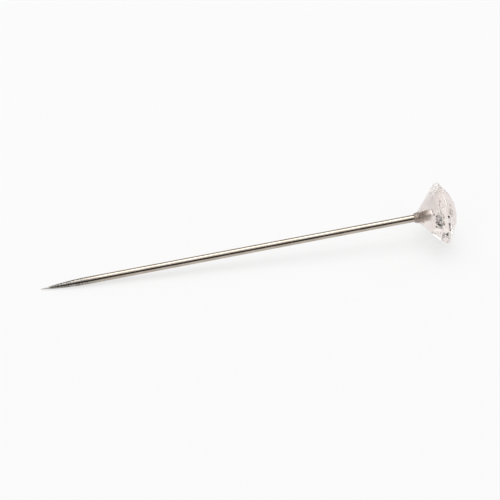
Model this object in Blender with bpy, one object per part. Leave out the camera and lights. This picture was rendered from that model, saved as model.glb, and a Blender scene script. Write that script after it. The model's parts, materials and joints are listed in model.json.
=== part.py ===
# Diamond head pin: a pointed steel wire glued into a clear, brilliant-cut plastic head.
# The pin lies on a table (z = 0) on its point and on one flat of the head's girdle, with its head at +X.
# The pieces are modelled upright on a common axis, with z = 0 at the lower edge of the girdle,
# the table of the cut at the top and the point of the wire at the bottom.

import math

import bmesh
import bpy
from mathutils import Vector

MM = 0.001

# Wire
WIRE_LENGTH = 50.8 * MM          # two inches, from the point to the end inside the head
WIRE_DIAMETER = 0.95 * MM
WIRE_INSERTION = 2.6 * MM        # wire inside the head, from the mouth of the neck
WIRE_CHAMFER = 0.1 * MM          # on the end inside the head
POINT_LENGTH = 6.0 * MM          # ground taper
POINT_RADIUS = 0.04 * MM         # rounding of the very tip
POINT_FULLNESS = 1.8             # 1 gives a straight cone, more gives a fuller taper

# Head: the cut
GIRDLE_DIAMETER = 8.0 * MM       # across the corners of the girdle
GIRDLE_HEIGHT = 0.25 * MM
TABLE_DIAMETER = 3.6 * MM        # across the corners of the table
CROWN_HEIGHT = 1.45 * MM         # girdle to table
PAVILION_DEPTH = 3.45 * MM       # girdle to the point where the main facets would meet
STAR_SHARE = 0.5                 # star facets reach this share of the way from table to girdle
LOWER_SHARE = 0.74               # lower girdle facets reach this share of the way to the axis
MAIN_FACETS = 8                  # facets of each tier that run from girdle to table or neck

# Head: the neck that holds the wire
NECK_DIAMETER = 1.28 * MM        # where the flare starts
MOUTH_DIAMETER = 1.2 * MM        # where the wire comes out
NECK_LENGTH = 0.1 * MM           # from the mouth to the flare
NECK_EDGE = 0.03 * MM            # rounding round the mouth
FLARE_RADIUS = 1.0 * MM          # hollow curve from the neck into the pavilion
FLARE_MEET = math.radians(35)    # slope of the flare where it runs into the facets
END_POCKET = 0.6 * MM            # air left in the socket past the end of the wire

# Adhesive
GLUE_LINE = 0.05 * MM            # width all round, between the wire and the socket
GLUE_SETBACK = 0.45 * MM         # the glue stops this far short of the end of the wire
BEAD_LENGTH = 0.2 * MM           # glue drawn out along the wire, outside the mouth
BEAD_RIM = 0.02 * MM             # mouth left bare outside the bead
BOND_GAP = 0.01 * MM             # clearance between bonded pieces

# Fineness of the round faces
WIRE_SIDES = 32
NECK_SIDES = 48
ARC_STEPS = 6
TAPER_STEPS = 9
TIP_STEPS = 3
WELD = 0.0001 * MM

# Radii and heights that follow from the sizes above
wire_radius = WIRE_DIAMETER / 2
girdle_radius = GIRDLE_DIAMETER / 2
table_radius = TABLE_DIAMETER / 2
neck_radius = NECK_DIAMETER / 2
mouth_radius = MOUTH_DIAMETER / 2
socket_radius = wire_radius + GLUE_LINE
half_step = math.pi / MAIN_FACETS
pavilion_slope = PAVILION_DEPTH / girdle_radius
table_height = GIRDLE_HEIGHT + CROWN_HEIGHT
meet_radius = neck_radius + FLARE_RADIUS * (1 - math.cos(FLARE_MEET))
meet_height = meet_radius * pavilion_slope - PAVILION_DEPTH
flare_height = meet_height - FLARE_RADIUS * math.sin(FLARE_MEET)
mouth_height = flare_height - NECK_LENGTH
wire_end = mouth_height + WIRE_INSERTION
wire_tip = wire_end - WIRE_LENGTH
socket_end = wire_end + END_POCKET
glue_end = wire_end - GLUE_SETBACK


def arc(centre_radius, centre_height, radius, start, stop, steps):
    """Points (radius, height) round a centre, from one angle to another."""
    angles = [start + (stop - start) * step / steps for step in range(steps + 1)]
    return [(centre_radius + radius * math.cos(angle), centre_height + radius * math.sin(angle))
            for angle in angles]


def material(name, colour, roughness, metallic=0.0, transmission=0.0, ior=1.45):
    made = bpy.data.materials.new(name)
    made.use_nodes = True
    shader = made.node_tree.nodes["Principled BSDF"]
    shader.inputs["Base Color"].default_value = (*colour, 1.0)
    shader.inputs["Roughness"].default_value = roughness
    shader.inputs["Metallic"].default_value = metallic
    shader.inputs["Transmission Weight"].default_value = transmission
    shader.inputs["IOR"].default_value = ior
    return made


def place(name, bm, finish=None):
    """Turn a bmesh into an object of the scene, with its faces pointing out."""
    bmesh.ops.remove_doubles(bm, verts=bm.verts, dist=WELD)
    bmesh.ops.recalc_face_normals(bm, faces=bm.faces)
    mesh = bpy.data.meshes.new(name)
    bm.to_mesh(mesh)
    bm.free()
    made = bpy.data.objects.new(name, mesh)
    bpy.context.scene.collection.objects.link(made)
    if finish:
        mesh.materials.append(finish)
    return made


def turned(name, profile, sides, finish=None, ring=False):
    """Turn a profile of (radius, height) points round the axis. A ring's profile is a closed loop."""
    bm = bmesh.new()
    points = [bm.verts.new((radius, 0, height)) for radius, height in profile]
    following = points[1:] + points[:1] if ring else points[1:]
    edges = [bm.edges.new(pair) for pair in zip(points, following)]
    bmesh.ops.spin(bm, geom=points + edges, cent=(0, 0, 0), axis=(0, 0, 1),
                   angle=math.tau, steps=sides, use_merge=True)
    made = place(name, bm, finish)
    made.data.shade_smooth()
    made.data.set_sharp_from_angle(angle=math.radians(35))
    return made


def helper(made):
    """Mark an object as a guide for a Boolean, which is no piece of the pin."""
    made.hide_render = True
    made.display_type = "WIRE"
    return made


def combine(made, other, operation):
    modifier = made.modifiers.new(other.name, "BOOLEAN")
    modifier.operation = operation
    modifier.solver = "EXACT"
    modifier.object = other


def wire_profile():
    """The point's round tip, its ground taper, the straight wire and its chamfered end."""
    def taper_radius(share):
        return POINT_RADIUS + (wire_radius - POINT_RADIUS) * (1 - (1 - share) ** POINT_FULLNESS)

    tip = arc(0, wire_tip + POINT_RADIUS, POINT_RADIUS, -math.pi / 2, 0, TIP_STEPS)
    tip[0] = (0, wire_tip)
    taper = []
    for step in range(1, TAPER_STEPS + 1):
        share = step / TAPER_STEPS
        height = wire_tip + POINT_RADIUS + (POINT_LENGTH - POINT_RADIUS) * share
        taper.append((taper_radius(share), height))
    end = [(wire_radius, wire_end - WIRE_CHAMFER), (wire_radius - WIRE_CHAMFER, wire_end), (0, wire_end)]
    return tip + taper + end


def ring_of(bm, radius, height, turn):
    """One corner for each main facet. Turn counts half steps round the axis."""
    made = []
    for index in range(MAIN_FACETS):
        angle = half_step * (2 * index + turn + 0.5)
        made.append(bm.verts.new((radius * math.cos(angle), radius * math.sin(angle), height)))
    return made


def cut_stone(finish):
    """The round brilliant: table, stars, kites, upper facets, girdle, lower facets and mains."""
    table_edge = table_radius * math.cos(half_step)
    star_radius = table_edge + (girdle_radius - table_edge) * STAR_SHARE
    crown_slope = CROWN_HEIGHT / (girdle_radius - table_radius)
    star_height = table_height - (star_radius * math.cos(half_step) - table_radius) * crown_slope
    lower_radius = girdle_radius * (1 - LOWER_SHARE)
    lower_height = lower_radius * math.cos(half_step) * pavilion_slope - PAVILION_DEPTH

    bm = bmesh.new()
    table = ring_of(bm, table_radius, table_height, 0)
    star = ring_of(bm, star_radius, star_height, 1)
    upper_main = ring_of(bm, girdle_radius, GIRDLE_HEIGHT, 0)
    upper_half = ring_of(bm, girdle_radius, GIRDLE_HEIGHT, 1)
    lower_main = ring_of(bm, girdle_radius, 0, 0)
    lower_half = ring_of(bm, girdle_radius, 0, 1)
    lower = ring_of(bm, lower_radius, lower_height, 1)
    point = bm.verts.new((0, 0, -PAVILION_DEPTH))

    bm.faces.new(table)
    for here in range(MAIN_FACETS):
        after = (here + 1) % MAIN_FACETS
        bm.faces.new((table[here], table[after], star[here]))
        bm.faces.new((table[here], star[here - 1], upper_main[here], star[here]))
        bm.faces.new((point, lower[here - 1], lower_main[here], lower[here]))
        for corner in (here, after):
            bm.faces.new((star[here], upper_main[corner], upper_half[here]))
            bm.faces.new((upper_main[corner], lower_main[corner], lower_half[here], upper_half[here]))
            bm.faces.new((lower_main[corner], lower[here], lower_half[here]))
    return place("diamond_head", bm, finish)


def neck_stock():
    """The tubular neck with its trumpet flare, which ends inside the cut stone."""
    full = math.pi / 2 - math.atan(pavilion_slope)
    edge = arc(mouth_radius - NECK_EDGE, mouth_height + NECK_EDGE, NECK_EDGE, -math.pi / 2, 0, TIP_STEPS)
    flare = arc(neck_radius + FLARE_RADIUS, flare_height, FLARE_RADIUS, math.pi, math.pi - full, ARC_STEPS)
    inside = flare[-1][0]
    top = [(inside, flare[-1][1] + NECK_EDGE), (0, flare[-1][1] + NECK_EDGE)]
    return helper(turned("neck_stock", [(0, mouth_height)] + edge + flare + top, NECK_SIDES))


def socket_cutter():
    below = mouth_height - BEAD_LENGTH
    profile = [(0, below), (socket_radius, below), (socket_radius, socket_end - WIRE_CHAMFER),
               (socket_radius - WIRE_CHAMFER, socket_end), (0, socket_end)]
    return helper(turned("socket_cutter", profile, WIRE_SIDES))


def make_head(finish):
    head = cut_stone(finish)
    combine(head, neck_stock(), "UNION")
    combine(head, socket_cutter(), "DIFFERENCE")
    return head


def make_adhesive(finish):
    """A thin sleeve between wire and socket, with a bead drawn out along the wire at the mouth."""
    inner = wire_radius + BOND_GAP
    outer = socket_radius - BOND_GAP
    bead_radius = mouth_radius - NECK_EDGE - BEAD_RIM
    bead_top = mouth_height - BOND_GAP
    spread = bead_radius - inner
    bead = []
    for step in range(ARC_STEPS + 1):
        turn = math.pi / 2 * step / ARC_STEPS
        bead.append((bead_radius - spread * math.sin(turn), bead_top - BEAD_LENGTH * (1 - math.cos(turn))))
    bead[-1] = (inner, bead_top - BEAD_LENGTH)
    profile = bead + [(inner, glue_end), (outer, glue_end), (outer, bead_top)]
    return turned("adhesive", profile, WIRE_SIDES, finish, ring=True)


def lay_down(pieces):
    """Tip the pin until its taper and the lower edge of one girdle flat both lie on z = 0."""
    flat_radius = girdle_radius * math.cos(half_step / 2)
    tilt = min(math.atan2(flat_radius - radius, -height)
               for radius, height in wire_profile() if height < mouth_height)
    axis = bpy.data.objects.new("pin_axis", None)
    bpy.context.scene.collection.objects.link(axis)
    axis.rotation_euler = (0, math.pi / 2 - tilt, 0)
    for piece in pieces:
        piece.parent = axis
    bpy.context.view_layer.update()
    corners = [piece.matrix_world @ vertex.co for piece in pieces for vertex in piece.data.vertices]
    low = Vector(min(corner[side] for corner in corners) for side in range(3))
    high = Vector(max(corner[side] for corner in corners) for side in range(3))
    axis.location = (-(low.x + high.x) / 2, -(low.y + high.y) / 2, -low.z)


def main():
    for old in list(bpy.data.objects):
        bpy.data.objects.remove(old, do_unlink=True)
    steel = material("plated_steel", (0.62, 0.57, 0.51), 0.22, metallic=1.0)
    acrylic = material("clear_acrylic", (0.95, 0.93, 0.92), 0.04, transmission=1.0, ior=1.49)
    glue = material("clear_glue", (0.93, 0.90, 0.84), 0.12, transmission=0.9, ior=1.48)

    wire = turned("wire", wire_profile(), WIRE_SIDES, steel)
    head = make_head(acrylic)
    adhesive = make_adhesive(glue)
    helpers = [modifier.object for modifier in head.modifiers]
    lay_down([wire, head, adhesive] + helpers)


main()
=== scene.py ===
import json
import math

import bmesh
import bpy
from mathutils import Matrix, Vector


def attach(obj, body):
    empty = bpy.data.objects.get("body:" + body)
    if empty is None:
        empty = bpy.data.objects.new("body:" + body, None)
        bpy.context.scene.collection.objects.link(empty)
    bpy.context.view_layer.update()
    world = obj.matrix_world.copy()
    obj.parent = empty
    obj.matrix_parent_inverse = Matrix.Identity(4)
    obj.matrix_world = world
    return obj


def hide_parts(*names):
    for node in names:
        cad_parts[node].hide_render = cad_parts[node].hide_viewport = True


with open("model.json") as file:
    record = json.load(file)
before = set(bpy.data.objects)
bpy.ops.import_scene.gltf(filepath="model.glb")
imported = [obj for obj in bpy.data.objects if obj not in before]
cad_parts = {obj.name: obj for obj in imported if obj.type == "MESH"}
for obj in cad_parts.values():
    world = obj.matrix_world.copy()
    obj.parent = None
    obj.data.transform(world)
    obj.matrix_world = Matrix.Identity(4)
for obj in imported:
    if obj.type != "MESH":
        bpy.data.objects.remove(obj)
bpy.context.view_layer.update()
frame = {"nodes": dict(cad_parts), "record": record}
scene = bpy.context.scene
scene.view_settings.view_transform = "Standard"
mm = 0.001
plainStretch = (1.0, 1.0, 1.0)
seamReach = 0.0001 * mm
sharpAngle = math.radians(40)

# the head's values come first, because the whole pin is placed from its table
headValues = {                   # lengths in mm
    "girdleDiameter": 8.0,
    "girdleHeight": 0.25,
    "tableDiameter": 3.6,
    "crownHeight": 1.45,
    "pavilionDepth": 3.45,
    "starShare": 0.5,            # how far the star facets reach across the crown
    "lowerShare": 0.74,          # how far the lower facets reach down the pavilion
    "mainFacets": 8,
    "pointRadius": 0.001,        # of the small ring that closes the pavilion
    "edgeWidth": 0.045,          # moulded edges are a little round
    "edgeSteps": 2,
    "facetReach": 0.003,         # corners of the cut this close become one
    "facetAngle": 0.3,           # degrees, below which two faces are one facet
    "neckDiameter": 1.28,
    "mouthDiameter": 1.2,
    "mouthEdge": 0.03,
    "mouthSteps": 6,
    "flareRadius": 1.0,
    "flareMeet": 35.0,           # degrees
    "flareSteps": 24,
    "socketEdge": 0.1,
    "neckSides": 96,
    "cutReach": 0.002,           # corners left by the neck and the socket this close become one
    "refraction": 1.56,
    "tintNoise": (420.0, 3.0, 0.6),     # scale, detail and roughness
    # clouds of faint colour: painted colour fire and painted reflections
    "fireAndReflectionTints": ((0.32, (0.975, 0.885, 0.85)),
              (0.46, (0.945, 0.845, 0.805)),
              (0.56, (0.875, 0.86, 0.805)),
              (0.68, (0.905, 0.805, 0.815))),
    # painted shade: the crown darker and pinker towards the table
    "crownShade": (0.64, 0.54, 0.53),
    "crownRise": 1.2,            # height over which the crown's painted shade comes in
    "crownShare": 0.6,
    # painted reflection of the buried wire: greyish brown round the neck
    "neckWireReflection": (0.86, 0.80, 0.77),
    "neckRange": (2.6, 0.6),     # from the mouth, where the neck's painted wire reflection starts and is full
    "neckShare": 0.8,
    "facetRoughness": 0.02,
    "edgeRoughness": 0.12,
    "smearRoughness": 0.04,
    "scratchRoughness": 0.08,
    "neckRoughness": 0.3,
    "rippleNoise": (900.0, 2.0),
    "rippleBump": (0.9, 0.045),  # strength and depth
    "scratchBump": (0.3, 0.003),
    "smearScale": 380.0,
    "scratchScale": 2200.0,
    "scratchAmount": 0.25,
}
headHeight = (headValues["girdleHeight"] + headValues["crownHeight"]) * mm

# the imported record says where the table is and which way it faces
tableMount = frame["record"]["mounts"][0]
pinAxis = Vector(tableMount["axis"]).normalized()
pinOrigin = Vector(tableMount["pos_m"]) - pinAxis * headHeight
pinMatrix = Matrix.Translation(pinOrigin) @ Matrix.Rotation(math.acos(pinAxis.z), 4, "Y")
print("pin axis", [round(part, 4) for part in pinAxis])


# a node's two ends along the pin and its largest radius, on the pin's own axis
def spanOf(nodeName):
    back = pinMatrix.inverted()
    points = [back @ vertex.co for vertex in frame["nodes"][nodeName].data.vertices]
    along = [point.z for point in points]
    return min(along), max(along), max(point.xy.length for point in points)


wireTip, wireEnd, wireRadius = spanOf("wire")
mouthHeight = spanOf("diamond_head")[0]
beadEnd = spanOf("adhesive")[0]
print("wire from", round(wireTip / mm, 2), "to", round(wireEnd / mm, 2), "mm")


# node helpers
def feed(tree, socket, value):
    if isinstance(value, bpy.types.NodeSocket):
        tree.links.new(value, socket)
    else:
        socket.default_value = value


def node(tree, kind, settings=None, **inputs):
    made = tree.nodes.new(kind)
    for name, value in (settings or {}).items():
        setattr(made, name, value)
    for name, value in inputs.items():
        feed(tree, made.inputs[name.replace("_", " ")], value)
    return made


def calc(tree, operation, *values):
    made = node(tree, "ShaderNodeMath", {"operation": operation})
    for socket, value in zip(made.inputs, values):
        feed(tree, socket, value)
    return made.outputs[0]


# a base value and shares of others
def total(tree, base, *parts):
    for value, share in parts:
        base = calc(tree, "MULTIPLY_ADD", value, share, base)
    return base


# a Mix node's sockets share their names, so they are taken by place
def blendColour(tree, share, low, high):
    made = node(tree, "ShaderNodeMix", {"data_type": "RGBA"})
    feed(tree, made.inputs[0], share)
    for place, colour in ((6, low), (7, high)):
        feed(tree, made.inputs[place], (*colour, 1) if isinstance(colour, tuple) else colour)
    return made.outputs[2]


def colourRamp(tree, value, stops):
    made = node(tree, "ShaderNodeValToRGB", Fac=value)
    while len(made.color_ramp.elements) < len(stops):
        made.color_ramp.elements.new(0.5)
    for element, (place, colour) in zip(made.color_ramp.elements, stops):
        element.position = place
        element.color = (*colour, 1)
    return made.outputs[0]


def spread(tree, value, low, high, toLow=0.0, toHigh=1.0):
    made = node(tree, "ShaderNodeMapRange", {"interpolation_type": "SMOOTHSTEP"}, Value=value, From_Min=low,
                From_Max=high, To_Min=toLow, To_Max=toHigh)
    return made.outputs[0]


def noiseAt(tree, vector, scale, detail=2.0, roughness=0.5):
    made = node(tree, "ShaderNodeTexNoise", Vector=vector, Scale=scale, Detail=detail, Roughness=roughness)
    return made.outputs["Fac"]


def bump(tree, height, strength, depth, normal=None):
    made = node(tree, "ShaderNodeBump", Height=height, Strength=strength, Distance=depth * mm)
    if normal:
        tree.links.new(normal, made.inputs["Normal"])
    return made.outputs[0]


def dotWith(tree, vector, direction):
    made = node(tree, "ShaderNodeVectorMath", {"operation": "DOT_PRODUCT"})
    feed(tree, made.inputs[0], vector)
    feed(tree, made.inputs[1], direction)
    return made.outputs["Value"]


# coordinates on the pin's own axis: z along it, x and y across
def pinCoordinates(tree, stretch=plainStretch):
    back = pinMatrix.inverted()
    place = node(tree, "ShaderNodeTexCoord").outputs["Object"]
    turned = node(tree, "ShaderNodeMapping", Vector=place, Location=back.translation,
                  Rotation=back.to_euler())
    if stretch == plainStretch:
        return turned.outputs[0]
    return node(tree, "ShaderNodeMapping", Vector=turned.outputs[0], Scale=stretch).outputs[0]


def newMaterial(name):
    made = bpy.data.materials.new(name)
    made.use_nodes = True
    return made, made.node_tree, made.node_tree.nodes["Principled BSDF"]


# smears and short scratches from handling, shared by all the finishes
markValues = {
    "smearNoise": (4.0, 0.6),    # detail and roughness
    "smearRange": (0.45, 0.75),
    "scratchLevel": 0.78,        # noise above this is a scratch
    "amountReach": 0.2,          # how far a full amount lowers that level
    "scratchEdge": 0.04,
    "scratchDetail": 1.0,
    "scratchStretch": (0.035, 1.0, 1.0),
    "scratchTurns": ((0.4, 0.9, 0.2), (1.3, 0.2, 1.1), (2.2, 1.4, 0.5)),
}


def handlingGroup():
    tree = bpy.data.node_groups.new("handlingMarks", "ShaderNodeTree")
    face = tree.interface
    face.new_socket("Vector", in_out="INPUT", socket_type="NodeSocketVector")
    for name in ("Smear Scale", "Scratch Scale", "Scratch Amount"):
        face.new_socket(name, in_out="INPUT", socket_type="NodeSocketFloat")
    for name in ("Smears", "Scratches"):
        face.new_socket(name, in_out="OUTPUT", socket_type="NodeSocketFloat")
    source = node(tree, "NodeGroupInput").outputs
    sink = node(tree, "NodeGroupOutput").inputs
    cloud = noiseAt(tree, source["Vector"], source["Smear Scale"], *markValues["smearNoise"])
    feed(tree, sink["Smears"], spread(tree, cloud, *markValues["smearRange"]))
    drop = calc(tree, "MULTIPLY", source["Scratch Amount"], markValues["amountReach"])
    threshold = calc(tree, "SUBTRACT", markValues["scratchLevel"], drop)
    full = calc(tree, "ADD", threshold, markValues["scratchEdge"])
    lines = 0.0
    for turn in markValues["scratchTurns"]:
        aside = node(tree, "ShaderNodeMapping", Vector=source["Vector"], Rotation=turn,
                     Scale=markValues["scratchStretch"])
        dashes = noiseAt(tree, aside.outputs[0], source["Scratch Scale"], markValues["scratchDetail"])
        lines = calc(tree, "MAXIMUM", lines, spread(tree, dashes, threshold, full))
    feed(tree, sink["Scratches"], lines)
    return tree


handlingMarks = handlingGroup()


def handling(tree, vector, values):
    made = node(tree, "ShaderNodeGroup", {"node_tree": handlingMarks}, Vector=vector,
                Smear_Scale=values["smearScale"], Scratch_Scale=values["scratchScale"],
                Scratch_Amount=values["scratchAmount"])
    return made.outputs["Smears"], made.outputs["Scratches"]


# mesh helpers
def arc(centre, height, radius, start, stop, steps):
    angles = [start + (stop - start) * step / steps for step in range(steps + 1)]
    return [(centre + radius * math.cos(angle), height + radius * math.sin(angle)) for angle in angles]


def linked(name, data):
    made = bpy.data.objects.new(name, data)
    scene.collection.objects.link(made)
    return made


def turnedObject(name, profile, sides, finishes, ring=False):
    bm = bmesh.new()
    points = [bm.verts.new((radius, 0, height)) for radius, height in profile]
    following = points[1:] + points[:1] if ring else points[1:]
    edges = [bm.edges.new(pair) for pair in zip(points, following)]
    bmesh.ops.spin(bm, geom=points + edges, cent=(0, 0, 0), axis=(0, 0, 1), angle=math.tau, steps=sides,
                   use_merge=True)
    bmesh.ops.remove_doubles(bm, verts=bm.verts, dist=seamReach)
    bmesh.ops.recalc_face_normals(bm, faces=bm.faces)
    for face in bm.faces:
        face.smooth = True
    mesh = bpy.data.meshes.new(name)
    bm.to_mesh(mesh)
    bm.free()
    for finish in finishes:
        mesh.materials.append(finish)
    return linked(name, mesh)


# the result of an object's modifiers, as a plain mesh on the same object
def settle(made):
    graph = bpy.context.evaluated_depsgraph_get()
    mesh = bpy.data.meshes.new_from_object(made.evaluated_get(graph))
    made.modifiers.clear()
    made.data = mesh


def combine(made, other, operation):
    cut = made.modifiers.new(operation.lower(), "BOOLEAN")
    cut.operation = operation
    cut.solver = "EXACT"
    cut.material_mode = "TRANSFER"
    cut.object = other


def finishPiece(made, nodeName):
    made.data.transform(pinMatrix)
    made.data.update()
    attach(made, "root")
    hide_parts(nodeName)
    print(made.name, len(made.data.polygons), "faces")


# wire: bright plating with draw lines, ground and darker at the point; inside the head rougher under the
# glue and painted pale, near white towards its end, a painted sheen
wireValues = {                   # lengths in mm
    "pointLength": 6.0,
    "pointRadius": 0.04,
    "pointFullness": 1.8,        # 1 would be a straight cone
    "chamfer": 0.1,
    "sides": 72,
    "taperRings": 40,
    "tipRings": 5,
    "plate": (0.53, 0.465, 0.40),
    "plateDull": (0.45, 0.39, 0.33),
    "dullNoise": (420.0, 3.0),   # scale and detail, and roughness where there is a third value
    "dullRange": (0.35, 0.7),
    "drawNoise": (14000.0, 3.0, 0.7),
    "drawStretch": (1.0, 1.0, 0.006),
    "drawBump": (0.25, 0.004),   # strength and depth
    "ground": (0.46, 0.43, 0.40),
    "groundDark": (0.09, 0.08, 0.07),
    "groundRange": (0.32, 0.68),
    "grindNoise": (9000.0, 4.0, 0.75),
    "grindStretch": (0.12, 0.12, 1.0),
    "grindBump": (0.5, 0.015),
    "grindRange": (1.7, 0.6),    # shares of the point's length where grinding starts and is full
    "raggedScale": 2500.0,
    "raggedGrind": 1.2,
    "raggedGlue": 0.5,
    "tip": (0.74, 0.71, 0.68),
    "tipRange": (1.5, 0.7),
    # inside the head the wire is painted pale, a painted sheen
    "buried": (0.60, 0.54, 0.50),
    "paleWireEnd": (0.95, 0.92, 0.89),
    "buriedFade": 0.1,           # to each side of the mouth
    "endStart": 1.5,             # past the mouth, where the end's painted near white starts
    "endFull": 0.3,              # past the wire's end, where it would be full
    "roughness": 0.09,
    "drawRoughness": 0.12,
    "smearRoughness": 0.07,
    "scratchRoughness": 0.12,
    "grindRoughness": 0.04,
    "buriedRoughness": 0.3,
    "scratchBump": (0.4, 0.004),
    "smearScale": 700.0,
    "scratchScale": 5000.0,
    "scratchAmount": 0.4,
}


def platedSteel():
    made, tree, shader = newMaterial("platedSteel")
    here = pinCoordinates(tree)
    height = node(tree, "ShaderNodeSeparateXYZ", Vector=here).outputs["Z"]
    along = calc(tree, "SUBTRACT", height, wireTip)
    uneven = noiseAt(tree, here, wireValues["raggedScale"])
    smears, scratches = handling(tree, here, wireValues)

    # plating
    dull = spread(tree, noiseAt(tree, here, *wireValues["dullNoise"]), *wireValues["dullRange"])
    plate = blendColour(tree, dull, wireValues["plate"], wireValues["plateDull"])
    drawLines = noiseAt(tree, pinCoordinates(tree, wireValues["drawStretch"]), *wireValues["drawNoise"])

    # ground point
    ragged = calc(tree, "MULTIPLY_ADD", uneven, wireValues["raggedGrind"] * mm, along)
    grindStart, grindFull = (share * wireValues["pointLength"] * mm for share in wireValues["grindRange"])
    point = spread(tree, ragged, grindStart, grindFull)
    grinding = noiseAt(tree, pinCoordinates(tree, wireValues["grindStretch"]), *wireValues["grindNoise"])
    ground = blendColour(tree, spread(tree, grinding, *wireValues["groundRange"]), wireValues["groundDark"],
                         wireValues["ground"])
    polished = spread(tree, along, *(place * mm for place in wireValues["tipRange"]))
    ground = blendColour(tree, polished, ground, wireValues["tip"])
    bare = blendColour(tree, point, plate, ground)

    # inside the head: rougher under the glue, and painted pale up to near white at the wire's end, a
    # painted sheen
    fade = wireValues["buriedFade"] * mm
    buried = spread(tree, height, mouthHeight - fade, mouthHeight + fade)
    ragged = calc(tree, "MULTIPLY_ADD", uneven, wireValues["raggedGlue"] * mm, height)
    endStart, endFull = mouthHeight + wireValues["endStart"] * mm, wireEnd + wireValues["endFull"] * mm
    deep = spread(tree, ragged, endStart, endFull)
    paintedPaleWire = blendColour(tree, deep, wireValues["buried"], wireValues["paleWireEnd"])

    feed(tree, shader.inputs["Base Color"], blendColour(tree, buried, bare, paintedPaleWire))
    rough = total(tree, wireValues["roughness"], (drawLines, wireValues["drawRoughness"]),
                  (smears, wireValues["smearRoughness"]), (scratches, wireValues["scratchRoughness"]),
                  (point, wireValues["grindRoughness"]), (buried, wireValues["buriedRoughness"]))
    feed(tree, shader.inputs["Roughness"], rough)
    shader.inputs["Metallic"].default_value = 1.0
    lines = bump(tree, drawLines, *wireValues["drawBump"])
    marks = bump(tree, calc(tree, "MULTIPLY", grinding, point), *wireValues["grindBump"], lines)
    feed(tree, shader.inputs["Normal"], bump(tree, scratches, *wireValues["scratchBump"], marks))
    return made


def wireProfile():
    radius = wireValues["pointRadius"] * mm
    length = wireValues["pointLength"] * mm
    chamfer = wireValues["chamfer"] * mm
    tip = [(0, wireTip)] + arc(0, wireTip + radius, radius, -math.pi / 2, 0, wireValues["tipRings"])[1:]
    taper = []
    for ring in range(1, wireValues["taperRings"] + 1):
        share = ring / wireValues["taperRings"]
        swell = 1 - (1 - share) ** wireValues["pointFullness"]
        taper.append((radius + (wireRadius - radius) * swell, wireTip + radius + (length - radius) * share))
    end = [(wireRadius, wireEnd - chamfer), (wireRadius - chamfer, wireEnd), (0, wireEnd)]
    return tip + taper + end


def makeWire():
    wire = turnedObject("pinWire", wireProfile(), wireValues["sides"], [platedSteel()])
    wire.data.set_sharp_from_angle(angle=sharpAngle)
    finishPiece(wire, "wire")


makeWire()


# glue: a thin sleeve round the wire that ends in a small uneven bead
glueValues = {                   # lengths in mm
    "line": 0.05,
    "setback": 0.45,             # the sleeve stops this far short of the wire's end
    "beadRim": 0.02,
    "bondGap": 0.01,
    "endPocket": 0.6,            # air past the wire's end
    "sides": 72,
    "beadSteps": 14,
    "waver": 0.05,               # how uneven the bead is
    "waves": ((2, 1.0, 0.7), (3, 0.6, 2.1)),    # count round the bead, share and turn of each
    "clear": (0.97, 0.95, 0.90),
    "yellowed": (0.92, 0.88, 0.80),
    "tintScale": 1200.0,
    "transmission": 0.9,
    "refraction": 1.48,
    "roughness": 0.08,
    "smearRoughness": 0.15,
    "scratchRoughness": 0.1,
    "lumpScale": 2600.0,
    "lumpBump": (0.4, 0.02),     # strength and depth
    "smearScale": 2200.0,
    "scratchScale": 5000.0,
    "scratchAmount": 0.1,
    "wetted": (1.0, 0.995, 0.985),
    "wettedDull": (0.95, 0.93, 0.9),
    "wettedScale": 1500.0,
    "wettedRange": (0.35, 0.65),
    "wettedRoughness": (0.25, 0.5),
}
socketRadius = wireRadius + glueValues["line"] * mm
socketEnd = wireEnd + glueValues["endPocket"] * mm


# where glue wets the plastic, light passes on without bending
def bondLine():
    made, tree, shader = newMaterial("bondLine")
    cloud = noiseAt(tree, pinCoordinates(tree), glueValues["wettedScale"])
    tint = blendColour(tree, cloud, glueValues["wetted"], glueValues["wettedDull"])
    feed(tree, shader.inputs["Base Color"], tint)
    rough = spread(tree, cloud, *glueValues["wettedRange"], *glueValues["wettedRoughness"])
    feed(tree, shader.inputs["Roughness"], rough)
    shader.inputs["Transmission Weight"].default_value = 1.0
    shader.inputs["IOR"].default_value = 1.0
    return made


def curedGlue():
    made, tree, shader = newMaterial("curedGlue")
    here = pinCoordinates(tree)
    smears, scratches = handling(tree, here, glueValues)
    cloud = noiseAt(tree, here, glueValues["tintScale"])
    tint = blendColour(tree, cloud, glueValues["clear"], glueValues["yellowed"])
    feed(tree, shader.inputs["Base Color"], tint)
    rough = total(tree, glueValues["roughness"], (smears, glueValues["smearRoughness"]),
                  (scratches, glueValues["scratchRoughness"]))
    feed(tree, shader.inputs["Roughness"], rough)
    shader.inputs["Transmission Weight"].default_value = glueValues["transmission"]
    shader.inputs["IOR"].default_value = glueValues["refraction"]
    lumps = noiseAt(tree, here, glueValues["lumpScale"])
    feed(tree, shader.inputs["Normal"], bump(tree, lumps, *glueValues["lumpBump"]))
    return made


bondFinish = bondLine()


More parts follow.
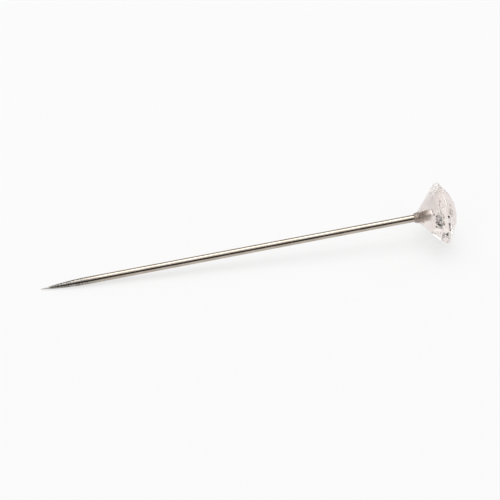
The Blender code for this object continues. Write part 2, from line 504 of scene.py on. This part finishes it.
def makeGlue():
    gap = glueValues["bondGap"] * mm
    inner, outer = wireRadius + gap, socketRadius - gap
    top = mouthHeight - gap
    beadRadius = (headValues["mouthDiameter"] / 2 - headValues["mouthEdge"] - glueValues["beadRim"]) * mm
    bead = []
    for step in range(glueValues["beadSteps"] + 1):
        turn = math.pi / 2 * step / glueValues["beadSteps"]
        radius = beadRadius - (beadRadius - inner) * math.sin(turn)
        bead.append((radius, top - (top - beadEnd) * (1 - math.cos(turn))))
    glueEnd = wireEnd - glueValues["setback"] * mm
    profile = bead + [(inner, glueEnd), (outer, glueEnd), (outer, top)]
    glue = turnedObject("glueBead", profile, glueValues["sides"], [curedGlue(), bondFinish], ring=True)
    for face in glue.data.polygons:
        wet = face.center.z > top + gap / 2 or face.center.xy.length < inner + gap / 2
        face.material_index = int(wet)
    for vertex in glue.data.vertices:
        drop = top - vertex.co.z
        if drop > gap / 2:
            angle = math.atan2(vertex.co.y, vertex.co.x)
            wave = 0.0
            for count, share, turn in glueValues["waves"]:
                wave += share * (1 + math.sin(count * angle + turn))     # never below 0
            vertex.co.z += drop * glueValues["waver"] * wave
    glue.data.set_sharp_from_angle(angle=sharpAngle)
    finishPiece(glue, "adhesive")


makeGlue()


# head: clear moulding with flow ripples, smears and scratches; its colour clouds are painted colour fire
# and painted reflections, with a painted shade on the crown and a painted reflection of the wire round the
# neck
def clearPlastic(name, roughness):
    made, tree, shader = newMaterial(name)
    here = pinCoordinates(tree)
    smears, scratches = handling(tree, here, headValues)
    # clouds of faint colour, painted colour fire and painted reflections
    tint = colourRamp(tree, noiseAt(tree, here, *headValues["tintNoise"]), headValues["fireAndReflectionTints"])
    height = node(tree, "ShaderNodeSeparateXYZ", Vector=here).outputs["Z"]
    # painted shade: the crown grows darker and pinker upward from the girdle
    crownShadeMask = spread(tree, height, 0.0, headValues["crownRise"] * mm, 0.0, headValues["crownShare"])
    tint = blendColour(tree, crownShadeMask, tint, headValues["crownShade"])
    # round the neck the plastic is painted greyish brown, a painted reflection of the buried wire, and is
    # rougher
    neckStart, neckFull = (mouthHeight + place * mm for place in headValues["neckRange"])
    neck = spread(tree, height, neckStart, neckFull, 0.0, headValues["neckShare"])
    feed(tree, shader.inputs["Base Color"], blendColour(tree, neck, tint, headValues["neckWireReflection"]))
    rough = total(tree, roughness, (smears, headValues["smearRoughness"]),
                  (scratches, headValues["scratchRoughness"]), (neck, headValues["neckRoughness"]))
    feed(tree, shader.inputs["Roughness"], rough)
    shader.inputs["Transmission Weight"].default_value = 1.0
    shader.inputs["IOR"].default_value = headValues["refraction"]
    ripples = bump(tree, noiseAt(tree, here, *headValues["rippleNoise"]), *headValues["rippleBump"])
    feed(tree, shader.inputs["Normal"], bump(tree, scratches, *headValues["scratchBump"], ripples))
    return made


facetFinish = clearPlastic("clearPlastic", headValues["facetRoughness"])
edgeFinish = clearPlastic("mouldedEdge", headValues["edgeRoughness"])


# the brilliant cut: rings of corners that follow the cutter's rule, closed by their hull
def brilliantTree():
    tree = bpy.data.node_groups.new("brilliantCut", "GeometryNodeTree")
    face = tree.interface
    face.new_socket("Geometry", in_out="OUTPUT", socket_type="NodeSocketGeometry")
    for name in ("Girdle Diameter", "Girdle Height", "Table Diameter", "Crown Height", "Pavilion Depth",
                 "Star Share", "Lower Share", "Point Radius"):
        face.new_socket(name, in_out="INPUT", socket_type="NodeSocketFloat")
    face.new_socket("Main Facets", in_out="INPUT", socket_type="NodeSocketInt")
    face.new_socket("Finish", in_out="INPUT", socket_type="NodeSocketMaterial")
    source = node(tree, "NodeGroupInput").outputs
    mains, depth = source["Main Facets"], source["Pavilion Depth"]
    girdle = calc(tree, "MULTIPLY", source["Girdle Diameter"], 0.5)
    table = calc(tree, "MULTIPLY", source["Table Diameter"], 0.5)
    halfStep = calc(tree, "DIVIDE", math.pi, mains)
    flat = calc(tree, "COSINE", halfStep)
    tableEdge = calc(tree, "MULTIPLY", table, flat)
    crownWidth = calc(tree, "SUBTRACT", girdle, tableEdge)
    star = calc(tree, "MULTIPLY_ADD", crownWidth, source["Star Share"], tableEdge)
    top = calc(tree, "ADD", source["Girdle Height"], source["Crown Height"])
    crownSlope = calc(tree, "DIVIDE", source["Crown Height"], calc(tree, "SUBTRACT", girdle, table))
    starOut = calc(tree, "SUBTRACT", calc(tree, "MULTIPLY", star, flat), table)
    starHeight = calc(tree, "SUBTRACT", top, calc(tree, "MULTIPLY", starOut, crownSlope))
    lower = calc(tree, "MULTIPLY", girdle, calc(tree, "SUBTRACT", 1.0, source["Lower Share"]))
    pavilionSlope = calc(tree, "DIVIDE", depth, girdle)
    lowerRise = calc(tree, "MULTIPLY", calc(tree, "MULTIPLY", lower, flat), pavilionSlope)
    lowerHeight = calc(tree, "SUBTRACT", lowerRise, depth)
    pointHeight = calc(tree, "MULTIPLY", depth, -1.0)
    bothRings = calc(tree, "MULTIPLY", mains, 2.0)
    join = node(tree, "GeometryNodeJoinGeometry")
    for count, radius, height, turn in (     # turns in half steps
            (mains, table, top, 0.5),
            (mains, star, starHeight, 1.5),
            (bothRings, girdle, source["Girdle Height"], 0.5),
            (bothRings, girdle, 0.0, 0.5),
            (mains, lower, lowerHeight, 1.5),
            (3, source["Point Radius"], pointHeight, 0.0)):
        ring = node(tree, "GeometryNodeMeshCircle", Vertices=count, Radius=radius)
        lift = node(tree, "ShaderNodeCombineXYZ", Z=height)
        spin = node(tree, "ShaderNodeCombineXYZ", Z=calc(tree, "MULTIPLY", halfStep, turn))
        placed = node(tree, "GeometryNodeTransform", Geometry=ring.outputs[0], Translation=lift.outputs[0],
                      Rotation=spin.outputs[0])
        tree.links.new(placed.outputs[0], join.inputs[0])
    hull = node(tree, "GeometryNodeConvexHull", Geometry=join.outputs[0])
    real = node(tree, "GeometryNodeRealizeInstances", Geometry=hull.outputs[0])
    painted = node(tree, "GeometryNodeSetMaterial", Geometry=real.outputs[0], Material=source["Finish"])
    tree.links.new(painted.outputs[0], node(tree, "NodeGroupOutput").inputs[0])
    return tree


def setInputs(modifier, values):
    for item in modifier.node_group.interface.items_tree:
        if item.in_out == "INPUT":
            modifier[item.identifier] = values[item.name]


def cutStone():
    made = linked("cutHead", bpy.data.meshes.new("cutHead"))
    cutting = made.modifiers.new("cut", "NODES")
    cutting.node_group = brilliantTree()
    setInputs(cutting, {
        "Girdle Diameter": headValues["girdleDiameter"] * mm,
        "Girdle Height": headValues["girdleHeight"] * mm,
        "Table Diameter": headValues["tableDiameter"] * mm,
        "Crown Height": headValues["crownHeight"] * mm,
        "Pavilion Depth": headValues["pavilionDepth"] * mm,
        "Star Share": headValues["starShare"],
        "Lower Share": headValues["lowerShare"],
        "Point Radius": headValues["pointRadius"] * mm,
        "Main Facets": headValues["mainFacets"],
        "Finish": facetFinish,
    })
    settle(made)
    bm = bmesh.new()
    bm.from_mesh(made.data)
    bmesh.ops.remove_doubles(bm, verts=bm.verts, dist=headValues["facetReach"] * mm)
    flat = math.radians(headValues["facetAngle"])
    bmesh.ops.dissolve_limit(bm, angle_limit=flat, verts=bm.verts, edges=bm.edges)
    bmesh.ops.recalc_face_normals(bm, faces=bm.faces)
    print("facets cut:", len(bm.faces))
    for face in bm.faces:
        face.smooth = False
    rounded = bmesh.ops.bevel(bm, geom=bm.edges[:], offset=headValues["edgeWidth"] * mm / 2,
                              segments=headValues["edgeSteps"], profile=0.5, affect="EDGES",
                              clamp_overlap=True, material=1)
    for face in rounded["faces"]:
        face.smooth = True
    bm.to_mesh(made.data)
    bm.free()
    made.data.materials.append(edgeFinish)
    return made


def neckStock():
    neckRadius, mouthRadius = headValues["neckDiameter"] / 2 * mm, headValues["mouthDiameter"] / 2 * mm
    edge, flareRadius = headValues["mouthEdge"] * mm, headValues["flareRadius"] * mm
    slope = headValues["pavilionDepth"] / headValues["girdleDiameter"] * 2
    meet = math.radians(headValues["flareMeet"])
    meetRadius = neckRadius + flareRadius * (1 - math.cos(meet))
    flareStart = meetRadius * slope - headValues["pavilionDepth"] * mm - flareRadius * math.sin(meet)
    rim = arc(mouthRadius - edge, mouthHeight + edge, edge, -math.pi / 2, 0, headValues["mouthSteps"])
    flare = arc(neckRadius + flareRadius, flareStart, flareRadius, math.pi, math.pi / 2 + math.atan(slope),
                headValues["flareSteps"])
    inside = flare[-1][1] + edge
    profile = [(0, mouthHeight)] + rim + flare + [(flare[-1][0], inside), (0, inside)]
    return turnedObject("neckStock", profile, headValues["neckSides"], [facetFinish])


# the socket: wetted by glue beside the wire, bare plastic round the air past its end
def socketStock():
    edge = headValues["socketEdge"] * mm
    below = mouthHeight - mm
    profile = [(0, below), (socketRadius, below), (socketRadius, wireEnd), (socketRadius, socketEnd - edge),
               (socketRadius - edge, socketEnd), (0, socketEnd)]
    made = turnedObject("socketStock", profile, headValues["neckSides"], [bondFinish, facetFinish])
    for face in made.data.polygons:
        face.material_index = int(face.center.z > wireEnd)
    return made


def makeHead():
    head = cutStone()
    neck, socket = neckStock(), socketStock()
    combine(head, neck, "UNION")
    combine(head, socket, "DIFFERENCE")
    settle(head)
    for helper in (neck, socket):
        bpy.data.objects.remove(helper, do_unlink=True)
    bm = bmesh.new()
    bm.from_mesh(head.data)
    bmesh.ops.remove_doubles(bm, verts=bm.verts, dist=headValues["cutReach"] * mm)
    bm.to_mesh(head.data)
    bm.free()
    finishPiece(head, "diamond_head")


makeHead()


# floor, studio light and camera
studio = {
    "floorSize": 4.0,            # metres to each side
    "floorColour": (0.955, 0.955, 0.955),
    "floorRoughness": 0.9,
    "floorShine": 0.1,
    "floorGlow": 0.7,            # share of the pale floor that no shadow dims
    "glowColour": (0.98, 0.98, 0.98),
    "overhead": 1.19,            # radiance of the ceiling
    "overheadEdge": (0.78, 0.9),     # where it starts and is full, as sines of the elevation
    "sweep": 0.45,               # radiance of the pale walls
    "room": 0.05,                # of the dark room behind the camera
    "roomEdge": (0.35, 0.7),     # cosines to the camera's side
    "panels": 1.0,               # of the bright panels to the left and right
    "panelsEdge": (0.45, 0.52),  # cosines to the left or right
    "gaps": 0.05,                # of the dark room beyond the panels
    "gapsEdge": (0.72, 0.8),
    "cove": 0.95,                # of the pale strip along the horizon
    "coveEdge": (0.015, 0.035),  # where it starts to fade and is gone, as sines of the elevation
    "boxRadiance": 1.93,
    "boxSize": 0.8,              # metres
    "boxDistance": 1.1,
    "boxLean": 19.0,             # degrees behind the zenith
    "azimuth": -11.0,            # degrees, 0 with the camera on the -y side, growing towards +x
    "elevation": 45.0,
    "lens": 100.0,
    "distance": 176.0,           # mm
    "aim": (0.0, 0.0, 2.0),      # mm
    "clip": (0.005, 20.0),       # metres
    "bounces": 48,               # light goes back and forth between many facets
}
azimuth, elevation = math.radians(studio["azimuth"]), math.radians(studio["elevation"])
front = Vector((math.sin(azimuth), -math.cos(azimuth), 0))
upward = Vector((0, 0, 1))


def makeFloor():
    mesh = bpy.data.meshes.new("floor")
    bm = bmesh.new()
    bmesh.ops.create_grid(bm, x_segments=1, y_segments=1, size=studio["floorSize"])
    bm.to_mesh(mesh)
    bm.free()
    made, tree, shader = newMaterial("paleFloor")
    shader.inputs["Base Color"].default_value = (*studio["floorColour"], 1)
    shader.inputs["Roughness"].default_value = studio["floorRoughness"]
    shader.inputs["Specular IOR Level"].default_value = studio["floorShine"]
    path = node(tree, "ShaderNodeLightPath").outputs
    seen = 0.0
    for ray in ("Is Camera Ray", "Is Glossy Ray", "Is Transmission Ray"):
        seen = calc(tree, "MAXIMUM", seen, path[ray])
    glow = node(tree, "ShaderNodeEmission", Color=(*studio["glowColour"], 1))
    blend = node(tree, "ShaderNodeMixShader", Fac=calc(tree, "MULTIPLY", seen, studio["floorGlow"]))
    tree.links.new(shader.outputs[0], blend.inputs[1])
    tree.links.new(glow.outputs[0], blend.inputs[2])
    tree.links.new(blend.outputs[0], tree.nodes["Material Output"].inputs["Surface"])
    mesh.materials.append(made)
    linked("floor", mesh)


# pale ceiling, walls and horizon, bright panels at the sides, dark room beyond them and behind the camera
def makeWorld():
    world = bpy.data.worlds.new("studio")
    scene.world = world
    world.use_nodes = True
    tree = world.node_tree
    way = node(tree, "ShaderNodeTexCoord").outputs["Generated"]
    height = node(tree, "ShaderNodeSeparateXYZ", Vector=way).outputs["Z"]
    aside = calc(tree, "ABSOLUTE", dotWith(tree, way, upward.cross(front)))
    glow = spread(tree, dotWith(tree, way, front), *studio["roomEdge"], studio["sweep"], studio["room"])
    glow = spread(tree, aside, *studio["panelsEdge"], glow, studio["panels"])
    glow = spread(tree, aside, *studio["gapsEdge"], glow, studio["gaps"])
    glow = spread(tree, height, *studio["coveEdge"], studio["cove"], glow)
    glow = spread(tree, height, *studio["overheadEdge"], glow, studio["overhead"])
    backdrop = tree.nodes["Background"]
    backdrop.inputs["Color"].default_value = (1.0, 1.0, 1.0, 1)
    feed(tree, backdrop.inputs["Strength"], glow)


def makeSoftbox():
    lamp = bpy.data.lights.new("softbox", "AREA")
    lamp.size = studio["boxSize"]
    lamp.energy = studio["boxRadiance"] * math.pi * studio["boxSize"] ** 2
    lean = math.radians(studio["boxLean"])
    toward = upward * math.cos(lean) - front * math.sin(lean)
    softbox = linked("softbox", lamp)
    softbox.location = toward * studio["boxDistance"]
    softbox.rotation_mode = "QUATERNION"
    softbox.rotation_quaternion = (-toward).to_track_quat("-Z", "Y")


def makeCamera():
    back = front * math.cos(elevation) + upward * math.sin(elevation)
    camera = linked("camera", bpy.data.cameras.new("camera"))
    camera.data.lens = studio["lens"]
    camera.data.clip_start, camera.data.clip_end = studio["clip"]
    camera.location = (Vector(studio["aim"]) + back * studio["distance"]) * mm
    camera.rotation_mode = "QUATERNION"
    camera.rotation_quaternion = (-back).to_track_quat("-Z", "Y")
    scene.camera = camera


makeFloor()
makeWorld()
makeSoftbox()
makeCamera()
for kind in ("max_bounces", "transmission_bounces", "glossy_bounces"):
    setattr(scene.cycles, kind, studio["bounces"])
print("stage ready")
